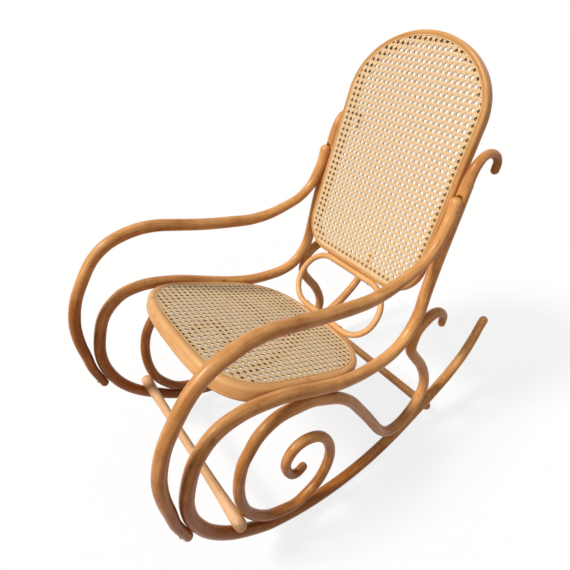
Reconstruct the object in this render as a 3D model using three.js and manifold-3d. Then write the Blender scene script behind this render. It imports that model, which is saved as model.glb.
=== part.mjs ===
// A bentwood rocking chair: two side frames of bent rods, a caned back and a caned seat
// between them, a small bent loop behind the seat and two stretchers.
// The front of the chair faces -Y, the sitter's left is +X, and lengths are in millimetres.

import * as THREE from 'three';
import { mergeGeometries, mergeVertices } from 'three/addons/utils/BufferGeometryUtils.js';
import Module from 'manifold-3d';

const wasm = await Module();
wasm.setup();

// Side frames: front of the arms to the tips of the tails, a base line up to the top of the hooks,
// and how far the rockers' undersides lie above that base line
const sideDepth = 1055;
const sideHeight = 866;
const sideSpread = 262;
const rockerBase = 9;
const rockerRadius = 610;
const rockerFlat = 60;
const rockerStep = 36;
const runnerDiameter = 30.5;
const armDiameter = 31;
const scrollDiameter = 29;
const notchDepth = 11.5;
const notchReach = 130;

// Caned back
const backHeight = 604;
const backCrownRise = 168;
const backCornerRadius = 90;
const backRailWidth = 25;
const backRailDepth = 25;
const backEdgeRound = 6;
const backSplineInset = 11.5;

// Caned seat
const seatDepth = 471;
const seatRailWidth = 31;
const seatRailDepth = 38;
const seatEdgeRound = 11;
const seatSplineInset = 17.5;

// Cane sheets and the splines that hold them
const caneThickness = 1.6;
const caneSink = 0.6;
const canePitch = 42;
const caneStrand = 15;
const caneRim = 6;
const splineWidth = 2.9;
const splineHeight = 3.8;
const splineProud = 0.9;

// Loop behind the seat, and the stretchers
const loopDiameter = 17;
const loopHalfWidth = 163;
const loopCornerRadius = 74;
const frontStretcherWaist = 22;
const frontStretcherEnd = 30.5;
const frontStretcherOverhang = 9;
const rearStretcherWaist = 25;
const rearStretcherEnd = 27;
const rearStretcherOverhang = 1;

// Screws
const screwHead = 8.4;
const screwShank = 4;
const screwBite = 12;
const screwRim = 0.7;
const loopScrewHead = 6;
const loopScrewShank = 2.8;
const loopScrewBite = 9;

// Clearance between pieces that touch, and round the screws
const fit = 0.3;

// How finely the bent rods are stepped
const longestStep = 120;
const sharpestTurn = 18 * Math.PI / 180;
const rodSides = 8;
const turnedSides = 12;
const screwSides = 6;
const cornerSteps = 6;
const crownSteps = 20;
const placesPerRow = 24;

// Angles of the rocker's ends from straight down, of the caned frames and of the loop
const rockerFrontAngle = 23.7 * Math.PI / 180;
const rockerRearAngle = 24.7 * Math.PI / 180;
const restAngle = 0.7 * Math.PI / 180;
const backLean = 20 * Math.PI / 180;
const seatSlope = 22 * Math.PI / 180;

const runnerRadius = runnerDiameter / 2;
const armRadius = armDiameter / 2;
const scrollRadius = scrollDiameter / 2;
const loopRadius = loopDiameter / 2;

// Places along the rods: shares of the side frame's depth, of its height and of its spread,
// then the share of the rod's full thickness there. A last 1 marks a place that bears on the runner.
const hookToRockerShares = [
  [0.858, 0.931, 0.878, 0.66],
  [0.861, 0.951, 0.878, 0.67],
  [0.850, 0.971, 0.878, 0.68],
  [0.828, 0.983, 0.874, 0.68],
  [0.805, 0.980, 0.874, 0.70],
  [0.786, 0.963, 0.874, 0.79],
  [0.773, 0.936, 0.870, 0.89],
  [0.764, 0.903, 0.870, 0.98],
  [0.749, 0.843, 0.870, 1],
  [0.718, 0.723, 0.870, 1],
  [0.695, 0.618, 0.870, 1],
  [0.680, 0.551, 0.878, 1],
  [0.666, 0.520, 0.882, 1],
  [0.648, 0.494, 0.889, 1],
  [0.626, 0.475, 0.897, 1],
  [0.599, 0.463, 0.908, 1],
  [0.567, 0.458, 0.920, 1],
  [0.495, 0.464, 0.943, 1],
  [0.425, 0.485, 0.966, 1],
  [0.351, 0.521, 0.979, 1],
  [0.275, 0.560, 0.981, 1],
  [0.202, 0.583, 0.989, 1],
  [0.169, 0.585, 0.992, 1],
  [0.137, 0.579, 0.996, 1],
  [0.111, 0.562, 0.996, 1],
  [0.089, 0.537, 1, 1],
  [0.072, 0.505, 1, 1],
  [0.051, 0.425, 1, 1],
  [0.047, 0.381, 1, 1],
  [0.050, 0.336, 1, 1],
  [0.060, 0.291, 1, 1],
  [0.076, 0.247, 1, 1],
  [0.100, 0.204, 1, 1],
  [0.130, 0.165, 1, 1],
  [0.171, 0.125, 0.996, 1],
  [0.192, 0.106, 0.992, 1],
];
const rockerMiddleShare = 0.450;
const rockerSpreadShares = [0.990, 0.945];
const tailShares = [
  [0.735, 0.118, 0.943, 1],
  [0.773, 0.140, 0.942, 1],
  [0.810, 0.163, 0.940, 0.98],
  [0.844, 0.185, 0.937, 0.96],
  [0.876, 0.211, 0.934, 0.94],
  [0.905, 0.239, 0.931, 0.92],
  [0.928, 0.270, 0.928, 0.90],
  [0.948, 0.303, 0.924, 0.87],
  [0.966, 0.338, 0.920, 0.85],
  [0.977, 0.358, 0.920, 0.85],
];
const armTopShares = [0.746, 0.869, 0.874, 0.97];
const armShares = [
  [0.730, 0.837, 0.878, 0.97],
  [0.715, 0.801, 0.882, 0.93],
  [0.698, 0.770, 0.885, 0.88],
  [0.675, 0.745, 0.889, 0.84],
  [0.648, 0.726, 0.893, 0.83],
  [0.617, 0.715, 0.897, 0.86],
  [0.556, 0.701, 0.905, 0.93],
  [0.498, 0.700, 0.916, 0.97],
  [0.441, 0.711, 0.927, 1],
  [0.362, 0.731, 0.935, 1],
  [0.292, 0.753, 0.950, 1],
  [0.249, 0.766, 0.962, 1],
  [0.209, 0.770, 0.973, 1],
  [0.170, 0.764, 0.985, 0.98],
  [0.131, 0.749, 0.992, 0.96],
  [0.092, 0.715, 1, 0.94],
  [0.057, 0.658, 1, 0.93],
  [0.032, 0.603, 1, 0.93],
  [0.016, 0.540, 1, 0.93],
  [0.012, 0.500, 1, 0.92],
  [0.012, 0.456, 1, 0.89],
  [0.016, 0.405, 1, 0.84],
  [0.023, 0.352, 1, 0.76, 1],
  [0.037, 0.282, 1, 0.70, 1],
];
const scrollShares = [
  [0.778, 0.458, 0.893, 0.70],
  [0.778, 0.486, 0.893, 0.80],
  [0.757, 0.513, 0.893, 0.90],
  [0.731, 0.519, 0.893, 1],
  [0.704, 0.507, 0.893, 1],
  [0.683, 0.484, 0.893, 1, 1],
  [0.670, 0.452, 0.893, 1],
  [0.668, 0.420, 0.895, 1],
  [0.690, 0.374, 0.901, 1],
  [0.715, 0.331, 0.905, 1],
  [0.733, 0.287, 0.910, 1],
  [0.743, 0.248, 0.916, 1],
  [0.744, 0.216, 0.924, 1],
  [0.737, 0.190, 0.931, 1],
  [0.724, 0.168, 0.939, 1],
  [0.704, 0.145, 0.947, 1],
  [0.683, 0.125, 0.953, 1, 1],
  [0.660, 0.112, 0.957, 1, 1],
  [0.630, 0.108, 0.960, 1],
  [0.605, 0.117, 0.962, 1],
  [0.583, 0.138, 0.962, 1],
  [0.564, 0.168, 0.964, 1],
  [0.542, 0.213, 0.965, 1],
  [0.515, 0.270, 0.966, 1],
  [0.486, 0.327, 0.969, 1],
  [0.454, 0.387, 0.973, 1],
  [0.418, 0.432, 0.973, 1],
  [0.374, 0.467, 0.977, 1],
  [0.334, 0.487, 0.981, 1, 1],
  [0.296, 0.500, 0.981, 1],
  [0.260, 0.503, 0.981, 0.98],
  [0.231, 0.492, 0.981, 0.96],
  [0.205, 0.470, 0.981, 0.94],
  [0.185, 0.441, 0.985, 0.92],
  [0.169, 0.409, 0.985, 0.91],
  [0.157, 0.361, 0.989, 0.91],
  [0.153, 0.316, 0.989, 0.91],
  [0.155, 0.267, 0.989, 0.91],
  [0.165, 0.216, 0.989, 0.91],
  [0.188, 0.167, 0.992, 0.91],
  [0.218, 0.128, 0.992, 0.91],
  [0.256, 0.098, 0.992, 0.91, 1],
  [0.294, 0.091, 0.989, 0.91],
  [0.331, 0.106, 0.989, 0.91],
  [0.361, 0.130, 0.989, 0.91],
  [0.382, 0.164, 0.985, 0.91],
  [0.394, 0.209, 0.985, 0.91],
  [0.393, 0.256, 0.985, 0.91],
  [0.379, 0.303, 0.985, 0.91],
  [0.357, 0.335, 0.985, 0.90],
  [0.329, 0.349, 0.981, 0.90],
  [0.302, 0.348, 0.981, 0.88],
  [0.282, 0.331, 0.981, 0.86],
  [0.270, 0.304, 0.981, 0.84],
  [0.273, 0.268, 0.977, 0.81],
  [0.287, 0.236, 0.977, 0.78],
  [0.302, 0.230, 0.977, 0.76],
  [0.316, 0.240, 0.977, 0.74],
];
// Half of the seat's outline: shares of its half width and of its depth, front to rear
const seatOutlineShares = [
  [0, 0],
  [0.332, 0.004],
  [0.581, 0.021],
  [0.768, 0.057],
  [0.900, 0.121],
  [0.975, 0.212],
  [1, 0.329],
  [1, 0.478],
  [0.996, 0.605],
  [0.975, 0.722],
  [0.909, 0.817],
  [0.793, 0.896],
  [0.631, 0.951],
  [0.415, 0.983],
  [0.207, 0.996],
  [0, 1],
];
// The middle of the seat's front edge and of the back's lower edge, on their faces,
// and rough places of the stretchers: shares of the side frame's depth and height
const seatFrontShares = [0.157, 0.627];
const backFootShares = [0.655, 0.585];
const railFootShare = 0.45;
const frontStretcherShares = [0.139, 0.200];
const rearStretcherShares = [0.766, 0.135];
// Turned profile of a stretcher: share of its half length, then how far its waist has grown to its end
const stretcherProfileShares = [
  [0, 0],
  [0.35, 0.05],
  [0.65, 0.35],
  [0.85, 0.9],
  [0.9, 1],
];
// A rounded end: how far out each ring lies and how wide it is, as shares of the end's radius
const domeShares = [
  [0.45, 0.88],
  [0.8, 0.56],
];
const domeRiseShare = 0.95;
// Where the lower run of the loop crosses the seat's rear rail, and how deep the upper run
// lies under the back's lower rail, as shares of those rails
const loopOnSeatShare = 0.3;
const loopUnderBackShare = 0.2;
const loopScrewShare = 0.45;
// Screws through the runner into the back and the seat, as shares of the back's height and the seat's depth
const backScrewShares = [0.28, 0.51];
const seatScrewShares = [0.33, 0.65];

// Names of what comes twice
const levelNames = ['lower', 'upper'];
const placeNames = ['front', 'rear'];
// Screws at the places where the scroll bears on the runner, in order along it
const scrollScrewNames = ['scroll_bend', 'scroll_rear', null, 'scroll_rail', 'scroll_front'];

const rodWood = { color: 0xb0713c, roughness: 0.42, metalness: 0 };
const frameWood = { color: 0xd6a05f, roughness: 0.42, metalness: 0 };
const paleWood = { color: 0xcf9c72, roughness: 0.45, metalness: 0 };
const caneFibre = { color: 0xe8d2a6, roughness: 0.6, metalness: 0 };
const splineFibre = { color: 0xdcb377, roughness: 0.55, metalness: 0 };
const screwSteel = { color: 0x3a3029, roughness: 0.4, metalness: 0.8 };

function sidePlace([depthShare, heightShare, spreadShare = 0]) {
  return new THREE.Vector3(spreadShare * sideSpread, depthShare * sideDepth, heightShare * sideHeight);
}

function rodRows(shares, radius) {
  return shares.map((row) => ({ point: sidePlace(row), radius: radius * row[3], bears: row[4] === 1 }));
}

// A smooth run through the rows, as closely set places with the thickness eased between rows
function trace(rows, closed = false) {
  const curve = new THREE.CatmullRomCurve3(rows.map((row) => row.point), closed, 'centripetal');
  const spans = closed ? rows.length : rows.length - 1;
  const places = [];
  for (let i = 0; i <= spans * placesPerRow; i += 1) {
    const before = Math.min(Math.floor(i / placesPerRow), spans - 1);
    const after = (before + 1) % rows.length;
    const mix = i / placesPerRow - before;
    places.push({
      point: curve.getPoint(i / placesPerRow / spans),
      radius: THREE.MathUtils.lerp(rows[before].radius, rows[after].radius, mix),
    });
  }
  return places;
}

// Keeps the places that a stepped rod needs: more where it bends, fewer where it runs straight
function thin(places) {
  const cost = [0];
  for (let i = 1; i < places.length; i += 1) {
    const step = places[i].point.clone().sub(places[i - 1].point);
    const next = i + 1 < places.length ? places[i + 1].point.clone().sub(places[i].point) : step;
    cost.push(cost[i - 1] + step.length() / longestStep + step.angleTo(next) / sharpestTurn);
  }
  const total = cost[cost.length - 1];
  const count = Math.ceil(total);
  const kept = [];
  let at = 0;
  for (let k = 0; k <= count; k += 1) {
    while (at < places.length - 1 && cost[at] < total * k / count) {
      at += 1;
    }
    kept.push(places[at]);
  }
  return kept;
}

// The shortest way between two stepped rods, seen square to the side of the chair
function closest(route, neighbour) {
  let best = { distance: Infinity };
  const sideOn = (place) => new THREE.Vector3(0, place.point.y, place.point.z);
  const compare = (corners, steps, swapped) => {
    for (const corner of corners) {
      for (let i = 1; i < steps.length; i += 1) {
        const line = new THREE.Line3(sideOn(steps[i - 1]), sideOn(steps[i]));
        const foot = line.closestPointToPoint(sideOn(corner), true, new THREE.Vector3());
        const distance = foot.distanceTo(sideOn(corner));
        if (distance < best.distance) {
          const reach = corner.radius + Math.max(steps[i - 1].radius, steps[i].radius);
          best = swapped ? { distance, reach, here: foot, there: sideOn(corner) }
            : { distance, reach, here: sideOn(corner), there: foot };
        }
      }
    }
  };
  compare(route, neighbour, false);
  compare(neighbour, route, true);
  return best;
}

// The stretch of a stepped rod round a point, with a step more at both ends
function stretchNear(route, point) {
  const near = (place) => place !== undefined && place.point.distanceTo(point) < longestStep;
  return route.filter((place, i) => near(place) || near(route[i - 1]) || near(route[i + 1]));
}

// Moves the rows that bear on the neighbour until the rod just touches it there, then, where the whole
// rod has to stay clear of the neighbour, any other row that still lies in it
function settle(rows, neighbour, staysClear) {
  const passes = 12;
  const bearing = rows.filter((row) => row.bears);
  const move = (row) => {
    const pair = closest(stretchNear(thin(trace(rows)), row.point), neighbour);
    const away = pair.here.clone().sub(pair.there).normalize();
    const shortfall = pair.reach + fit - pair.distance;
    if (row.bears || shortfall > 0) {
      row.point.addScaledVector(away, shortfall);
    }
  };
  for (let pass = 0; pass < passes; pass += 1) {
    bearing.forEach(move);
  }
  for (let pass = 0; pass < passes; pass += 1) {
    (staysClear ? rows : bearing).forEach(move);
  }
  return thin(trace(rows));
}

// The place beside the runner, towards a rough place, whose middle is a given way off it
function besideRunner(rough, distance) {
  const pair = closest([{ point: rough, radius: 0 }, { point: rough, radius: 0 }], runner);
  return pair.there.clone().addScaledVector(pair.here.clone().sub(pair.there).normalize(), distance);
}

// The rocker's places: a level flat to rest on, then even steps to both ends of the arc
function rockerRows() {
  const flatAngle = Math.asin(rockerFlat / 2 / rockerRadius);
  const middle = new THREE.Vector3(0, rockerMiddleShare * sideDepth, rockerBase + runnerRadius + rockerRadius);
  const angles = [];
  const addSteps = (from, to) => {
    const count = Math.round(Math.abs(to - from) * rockerRadius / rockerStep);
    for (let i = 0; i <= count; i += 1) {
      angles.push(THREE.MathUtils.lerp(from, to, i / count));
    }
  };
  addSteps(-rockerFrontAngle, restAngle - flatAngle);
  addSteps(restAngle + flatAngle, rockerRearAngle);
  return angles.map((angle) => {
    const along = (angle + rockerFrontAngle) / (rockerFrontAngle + rockerRearAngle);
    const spreadShare = THREE.MathUtils.lerp(rockerSpreadShares[0], rockerSpreadShares[1], along);
    const offset = new THREE.Vector3(spreadShare * sideSpread, Math.sin(angle) * rockerRadius,
      -Math.cos(angle) * rockerRadius);
    return { point: offset.add(middle), radius: runnerRadius };
  });
}

// A closed skin over rings of points, with a point at each end or joined round into a hoop
function skin(rings, tips) {
  const sides = rings[0].length;
  const corners = rings.flat();
  const triangles = [];
  const spans = tips ? rings.length - 1 : rings.length;
  for (let i = 0; i < spans; i += 1) {
    const ring = i * sides;
    const nextRing = ((i + 1) % rings.length) * sides;
    for (let k = 0; k < sides; k += 1) {
      const next = (k + 1) % sides;
      triangles.push(ring + k, ring + next, nextRing + next);
      triangles.push(ring + k, nextRing + next, nextRing + k);
    }
  }
  if (tips) {
    const start = corners.length;
    const end = start + 1;
    const lastRing = (rings.length - 1) * sides;
    corners.push(...tips);
    for (let k = 0; k < sides; k += 1) {
      const next = (k + 1) % sides;
      triangles.push(start, next, k);
      triangles.push(end, lastRing + k, lastRing + next);
    }
  }
  const geometry = new THREE.BufferGeometry();
  geometry.setAttribute('position', new THREE.Float32BufferAttribute(corners.flatMap((c) => c.toArray()), 3));
  geometry.setIndex(triangles);
  return geometry;
}

function tangentAt(points, i, closed = false) {
  const last = points.length - 1;
  const before = closed ? points[(i + last) % points.length] : points[Math.max(i - 1, 0)];
  const after = closed ? points[(i + 1) % points.length] : points[Math.min(i + 1, last)];
  const back = points[i].clone().sub(before);
  const ahead = after.clone().sub(points[i]);
  return back.normalize().add(ahead.normalize()).normalize();
}

// One ring of a round rod, with flats facing across the chair and square to that
function rodRing(centre, tangent, radius) {
  const across = new THREE.Vector3(1, 0, 0).addScaledVector(tangent, -tangent.x).normalize();
  const up = tangent.clone().cross(across);
  const cornerRadius = radius / Math.cos(Math.PI / rodSides);
  const ring = [];
  for (let k = 0; k < rodSides; k += 1) {
    const angle = (k + 0.5) * 2 * Math.PI / rodSides;
    ring.push(centre.clone().addScaledVector(across, Math.cos(angle) * cornerRadius)
      .addScaledVector(up, Math.sin(angle) * cornerRadius));
  }
  return ring;
}

// A bent rod with rounded ends, grown all over by a clearance when it serves as a cutter
function rod(route, grown = 0) {
  const points = route.map((place) => place.point);
  const rings = route.map((place, i) => rodRing(place.point, tangentAt(points, i), place.radius + grown));
  const dome = (i, outward) => {
    const radius = route[i].radius + grown;
    const tangent = tangentAt(points, i);
    const domeRings = domeShares.map(([riseShare, widthShare]) => rodRing(
      points[i].clone().addScaledVector(tangent, outward * riseShare * radius), tangent, widthShare * radius));
    return { domeRings, tip: points[i].clone().addScaledVector(tangent, outward * domeRiseShare * radius) };
  };
  const start = dome(0, -1);
  const end = dome(route.length - 1, 1);
  return skin([...start.domeRings.reverse(), ...rings, ...end.domeRings], [start.tip, end.tip]);
}

// A hoop swept round an outline that runs anticlockwise, seen from its face. The section's
// points are distances in from the outline and down from the face, clockwise round the rail.
function hoop(outline, section) {
  const face = new THREE.Vector3(0, 0, 1);
  const rings = outline.map((point, i) => {
    const inward = face.clone().cross(tangentAt(outline, i, true));
    return section.map(([inset, sunk]) => point.clone().addScaledVector(inward, inset).addScaledVector(face, -sunk));
  });
  return skin(rings, null);
}

function insetOutline(outline, inset) {
  const face = new THREE.Vector3(0, 0, 1);
  return outline.map((point, i) => (
    point.clone().addScaledVector(face.clone().cross(tangentAt(outline, i, true)), inset)
  ));
}

function arcPoints(centreX, centreY, radiusX, radiusY, from, to, steps) {
  const points = [];
  for (let i = 0; i <= steps; i += 1) {
    const angle = THREE.MathUtils.lerp(from, to, i / steps);
    points.push(new THREE.Vector3(centreX + radiusX * Math.cos(angle), centreY + radiusY * Math.sin(angle), 0));
  }
  return points;
}

// Section of a caned rail: rounded outside, a groove for the spline, and a lowered lip for the cane
function railSection(width, depth, edgeRound, splineInset) {
  const bevel = edgeRound * (1 - Math.SQRT1_2);
  const grooveEnd = splineInset + splineWidth + 2 * fit;
  const grooveDepth = splineHeight - splineProud + fit;
  const lip = caneSink + caneThickness + fit;
  return [
    [0, edgeRound],
    [0, depth - backEdgeRound],
    [backEdgeRound, depth],
    [width, depth],
    [width, lip],
    [grooveEnd, lip],
    [grooveEnd, grooveDepth],
    [splineInset, grooveDepth],
    [splineInset, 0],
    [edgeRound, 0],
    [bevel, bevel],
  ];
}

function splineSection(splineInset) {
  const outer = splineInset + fit;
  const inner = outer + splineWidth;
  const foot = splineHeight - splineProud;
  return [
    [outer, -splineProud / 2],
    [outer, foot],
    [inner, foot],
    [inner, -splineProud / 2],
    [(outer + inner) / 2, -splineProud],
  ];
}

// A woven sheet as an open net: a grid of square gaps inside a solid rim
function caneNet(outline) {
  const gap = canePitch - caneStrand;
  const flat = outline.map((point) => new THREE.Vector2(point.x, point.y));
  const box = new THREE.Box2().setFromPoints(flat);
  const middle = box.getCenter(new THREE.Vector2());
  const columns = Math.ceil((box.max.x - box.min.x) / canePitch / 2);
  const rows = Math.ceil((box.max.y - box.min.y) / canePitch / 2);
  const gaps = [];
  for (let i = -columns; i <= columns; i += 1) {
    for (let j = -rows; j <= rows; j += 1) {
      const centre = new THREE.Vector2(i, j).multiplyScalar(canePitch).add(middle);
      const corners = [[-1, -1], [-1, 1], [1, 1], [1, -1]].map(([across, along]) => (
        new THREE.Vector2(across, along).multiplyScalar(gap / 2).add(centre)
      ));
      if (corners.every((corner) => insideBy(flat, corner, caneRim))) {
        gaps.push(new THREE.BoxGeometry(gap, gap, 2 * caneThickness).translate(centre.x, centre.y, caneThickness / 2));
      }
    }
  }
  const sheet = new THREE.ExtrudeGeometry(new THREE.Shape(flat), { depth: caneThickness, bevelEnabled: false });
  return toGeometry(toSolid(sheet).subtract(toSolid(mergeGeometries(gaps))));
}

// Whether a point lies inside a convex outline, at least a margin away from every edge
function insideBy(outline, point, margin) {
  return outline.every((corner, i) => {
    const edge = outline[(i + 1) % outline.length].clone().sub(corner);
    return edge.cross(point.clone().sub(corner)) > margin * edge.length();
  });
}

// A stretcher turned on a lathe, lying along X, with rounded ends
function turned(waist, end, halfLength) {
  const endRadius = end / 2;
  const half = stretcherProfileShares.map(([alongShare, growthShare]) => (
    new THREE.Vector2(THREE.MathUtils.lerp(waist, end, growthShare) / 2, alongShare * halfLength)
  ));
  const domeBase = halfLength - domeRiseShare * endRadius;
  half.push(new THREE.Vector2(endRadius, Math.max(domeBase, half[half.length - 1].y + fit)));
  domeShares.forEach(([riseShare, widthShare]) => {
    half.push(new THREE.Vector2(widthShare * endRadius, domeBase + riseShare * endRadius));
  });
  half.push(new THREE.Vector2(0, halfLength));
  const otherHalf = half.slice(1).reverse().map((point) => new THREE.Vector2(point.x, -point.y));
  return new THREE.LatheGeometry([...otherHalf, ...half], turnedSides).rotateZ(-Math.PI / 2);
}

// A countersunk screw along -Z with its flat head at the origin
function screwShape(headDiameter, shankDiameter, length, grown = 0) {
  const headRadius = headDiameter / 2 + grown;
  const shankRadius = shankDiameter / 2 + grown;
  const rim = screwRim + grown;
  const profile = [
    new THREE.Vector2(0, -length - grown),
    new THREE.Vector2(shankRadius, -length - grown),
    new THREE.Vector2(shankRadius, shankRadius - headRadius - rim),
    new THREE.Vector2(headRadius, -rim),
    new THREE.Vector2(headRadius, grown > 0 ? headRadius : 0),
    new THREE.Vector2(0, grown > 0 ? headRadius : 0),
  ];
  return new THREE.LatheGeometry(profile, screwSides).rotateX(Math.PI / 2);
}

// Welds a geometry's shared corners and leaves out triangles without area, so that it can be cut
function toSolid(geometry) {
  const bare = geometry.clone();
  bare.deleteAttribute('normal');
  bare.deleteAttribute('uv');
  const welded = mergeVertices(bare);
  const order = Array.from(welded.index.array);
  const triangles = [];
  for (let i = 0; i < order.length; i += 3) {
    const corners = order.slice(i, i + 3);
    if (new Set(corners).size === corners.length) {
      triangles.push(...corners);
    }
  }
  return new wasm.Manifold(new wasm.Mesh({
    numProp: 3,
    vertProperties: welded.getAttribute('position').array,
    triVerts: new Uint32Array(triangles),
  }));
}

function toGeometry(solid) {
  const mesh = solid.getMesh();
  const geometry = new THREE.BufferGeometry();
  geometry.setAttribute('position', new THREE.BufferAttribute(mesh.vertProperties, 3));
  geometry.setIndex(new THREE.BufferAttribute(mesh.triVerts, 1));
  geometry.computeVertexNormals();
  return geometry;
}

function mirrored(geometry) {
  const copy = geometry.clone().scale(-1, 1, 1);
  const order = Array.from(copy.index.array);
  for (let i = 0; i < order.length; i += 3) {
    [order[i], order[i + 1]] = [order[i + 1], order[i]];
  }
  return copy.setIndex(order);
}

// The side rods of the left side
const runnerFront = rodRows(hookToRockerShares, runnerRadius);
const rocker = rockerRows();
const runnerTail = rodRows(tailShares, runnerRadius);
const runnerPlaces = trace([...runnerFront, ...rocker, ...runnerTail]);
const rockerStart = runnerFront.length * placesPerRow;
const rockerEnd = (runnerFront.length + rocker.length - 1) * placesPerRow;
const runner = [
  ...thin(runnerPlaces.slice(0, rockerStart + 1)).slice(0, -1),
  ...rocker,
  ...thin(runnerPlaces.slice(rockerEnd)).slice(1),
];

// The arm starts in its notch in the upright and ends along the front of the runner
const armRows = rodRows(armShares, armRadius);
const armEndRadius = armRadius * armTopShares[3];
const armTop = besideRunner(sidePlace(armTopShares), runnerRadius + armEndRadius - notchDepth);
armTop.x = armTopShares[2] * sideSpread;
armRows.unshift({ point: armTop, radius: armEndRadius, bears: false });
const arm = settle(armRows, runner, false);
const armFootRadius = armRows[armRows.length - 2].radius;
const scrollRows = rodRows(scrollShares, scrollRadius);
const scroll = settle(scrollRows, runner, true);

// The place of the runner nearest to a point, seen from the side
function runnerNear(point) {
  const away = (place) => Math.hypot(place.point.y - point.y, place.point.z - point.z);
  return runnerPlaces.reduce((best, place) => (away(place) < away(best) ? place : best)).point;
}

// The back's frame, leaning between the uprights
const backTurn = new THREE.Matrix4().makeRotationX(Math.PI / 2 - backLean);
backTurn.setPosition(sidePlace(backFootShares));
const backHalfWidth = Math.min(...runner.filter((place) => place.point.y > backTurn.elements[13])
  .filter((place) => place.point.z > backTurn.elements[14]).map((place) => place.point.x)) - runnerRadius - fit;
const backShoulder = backHeight - backCrownRise;
const backCornerCentre = backHalfWidth - backCornerRadius;
const backOutline = [
  ...arcPoints(backCornerCentre, backCornerRadius, backCornerRadius, backCornerRadius, -Math.PI / 2, 0, cornerSteps),
  ...arcPoints(0, backShoulder, backHalfWidth, backCrownRise, 0, Math.PI, crownSteps),
  ...arcPoints(-backCornerCentre, backCornerRadius, backCornerRadius, backCornerRadius, Math.PI, 1.5 * Math.PI,
    cornerSteps),
];

// The seat's frame, as wide as the rails beside it leave room for
const seatTurn = new THREE.Matrix4().makeRotationX(-seatSlope);
seatTurn.setPosition(sidePlace(seatFrontShares));
const rail = runnerPlaces.filter((place) => place.point.z > railFootShare * sideHeight);
function railAt(seatShare) {
  const depth = new THREE.Vector3(0, seatShare * seatDepth, 0).applyMatrix4(seatTurn).y;
  const away = (place) => Math.abs(place.point.y - depth);
  return rail.reduce((best, place) => (away(place) < away(best) ? place : best)).point;
}
const seatHalfWidth = Math.min(...seatOutlineShares.slice(1, -1).map(([acrossShare, alongShare]) => (
  (railAt(alongShare).x - runnerRadius - fit) / acrossShare
)));
const seatSide = seatOutlineShares.map(([acrossShare, alongShare]) => (
  new THREE.Vector3(acrossShare * seatHalfWidth, alongShare * seatDepth, 0)
));
const otherSide = (points) => points.slice(1, -1).reverse().map((point) => new THREE.Vector3(-point.x, point.y, 0));
const seatRows = [...seatSide, ...otherSide(seatSide)].map((point) => ({ point, radius: 0 }));
const seatPlaces = trace(seatRows, true).slice(0, (seatSide.length - 1) * placesPerRow + 1);
const seatHalf = thin(seatPlaces).map((place) => place.point);
const seatOutline = [...seatHalf, ...otherSide(seatHalf)];

// The loop, from the top of the seat's rear rail up to the underside of the back's lower rail
const loopReach = loopRadius / Math.cos(Math.PI / rodSides);
const loopFoot = new THREE.Vector3(0, seatDepth - loopOnSeatShare * seatRailWidth, loopReach + fit)
  .applyMatrix4(seatTurn);
const loopHead = new THREE.Vector3(0, -loopReach - fit, -loopUnderBackShare * backRailDepth).applyMatrix4(backTurn);
const loopRise = loopHead.clone().sub(loopFoot);
const loopTurn = new THREE.Matrix4().makeRotationX(Math.atan2(loopRise.z, loopRise.y)).setPosition(loopFoot);
const loopCorner = Math.min(loopCornerRadius, loopRise.length() / 2 - fit);
const loopCornerCentre = loopHalfWidth - loopRadius - loopCorner;
const loopUpper = loopRise.length() - loopCorner;
const loopOutline = [
  ...arcPoints(loopCornerCentre, loopCorner, loopCorner, loopCorner, -Math.PI / 2, 0, cornerSteps),
  ...arcPoints(loopCornerCentre, loopUpper, loopCorner, loopCorner, 0, Math.PI / 2, cornerSteps),
  ...arcPoints(-loopCornerCentre, loopUpper, loopCorner, loopCorner, Math.PI / 2, Math.PI, cornerSteps),
  ...arcPoints(-loopCornerCentre, loopCorner, loopCorner, loopCorner, Math.PI, 1.5 * Math.PI, cornerSteps),
];
const loopSection = Array.from({ length: rodSides }, (_, k) => {
  const angle = -(k + 0.5) * 2 * Math.PI / rodSides;
  return [loopReach * Math.cos(angle), loopReach * Math.sin(angle)];
});

// The stretchers, lying on the runners at the front and on the rockers at the rear
const frontStretcherPlace = besideRunner(sidePlace(frontStretcherShares), runnerRadius + frontStretcherEnd / 2 + fit);
const rearStretcherPlace = besideRunner(sidePlace(rearStretcherShares), runnerRadius + rearStretcherEnd / 2 + fit);

// Screws of the left side, each with the pieces that it passes through
const screws = [];

function drive(name, head, aim, length, pieces, small = false) {
  const matrix = new THREE.Matrix4();
  const turn = new THREE.Quaternion().setFromUnitVectors(new THREE.Vector3(0, 0, -1), aim);
  matrix.compose(head, turn, new THREE.Vector3(1, 1, 1));
  const sizes = small ? [loopScrewHead, loopScrewShank, length] : [screwHead, screwShank, length];
  screws.push({ name, matrix, sizes, pieces });
}

// A screw across two rods that touch, from the far side of the first into the second
function driveAcross(name, from, into, fromRadius, intoRadius, pieces) {
  const aim = into.clone().sub(from).normalize();
  const length = fromRadius + from.distanceTo(into) - intoRadius + screwBite;
  drive(name, from.clone().addScaledVector(aim, -fromRadius), aim, length, pieces);
}

// A screw from the outside of a runner into the frame beside it
function driveInward(name, middle, frame) {
  const head = middle.clone().add(new THREE.Vector3(runnerRadius, 0, 0));
  drive(name, head, new THREE.Vector3(-1, 0, 0), runnerDiameter + fit + screwBite, ['runner', frame]);
}

function contactNear(route, place) {
  const pair = closest(stretchNear(route, place), runner);
  pair.here.x = place.x;
  pair.there.x = place.x;
  return pair;
}

const armFootPlace = armRows[armRows.length - 2].point;
const armFootContact = contactNear(arm, armFootPlace);
driveAcross('arm_foot', armFootContact.here, armFootContact.there, armFootRadius, runnerRadius, ['arm', 'runner']);

const armTopContact = { here: arm[1].point, there: runnerNear(arm[1].point).clone() };
armTopContact.there.x = armTopContact.here.x;
driveAcross('arm_top', armTopContact.there, armTopContact.here, runnerRadius, screwBite / 2, ['runner', 'arm']);

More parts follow.
